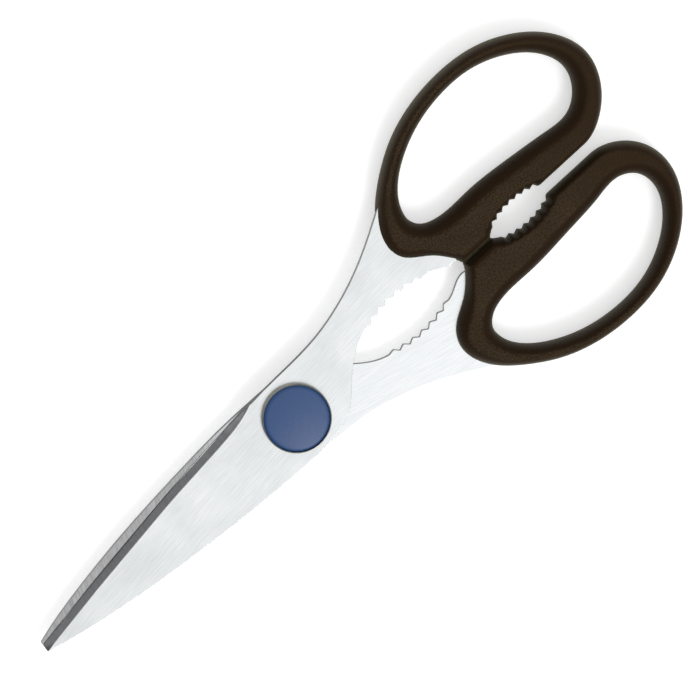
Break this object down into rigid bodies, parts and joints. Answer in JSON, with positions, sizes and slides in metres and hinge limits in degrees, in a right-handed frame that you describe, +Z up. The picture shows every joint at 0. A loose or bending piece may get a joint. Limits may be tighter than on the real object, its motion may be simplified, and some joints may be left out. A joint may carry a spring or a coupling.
{
  "type": "kitchen shears",
  "caption": "Steel kitchen shears with a plastic capped pivot, serrated nutcracker jaws and black looped handles with a toothed jar gripper between them.",
  "frame": {"origin": "on the pivot axis, in the plane of the pivot nut's flat underside, which is the plane the closed shears rest on", "axes": "+X from the pivot towards the handles, +Y towards the handle of the front half, +Z up, from the nut to the capped head"},
  "size_m": [0.2052, 0.0804, 0.0104],
  "materials": {
    "blade_steel": "brushed stainless sheet with a ground bevel",
    "pivot_steel": "turned steel",
    "blue_cap": "satin blue moulded plastic",
    "black_handle": "fine-grained black moulded plastic"
  },
  "bodies": {
    "back_half": {"back_blade": "blade_steel", "lower_handle": "black_handle", "pivot_screw": "pivot_steel", "pivot_cap": "blue_cap", "spring_washer": "pivot_steel", "pivot_nut": "pivot_steel"},
    "front_half": {"front_blade": "blade_steel", "upper_handle": "black_handle"}
  },
  "joints": [
    {"name": "blade_pivot", "type": "hinge", "parent": "back_half", "child": "front_half", "pos_m": [0, 0, 0], "axis": [0, 0, 1], "range_deg": [0, 140]}
  ]
}
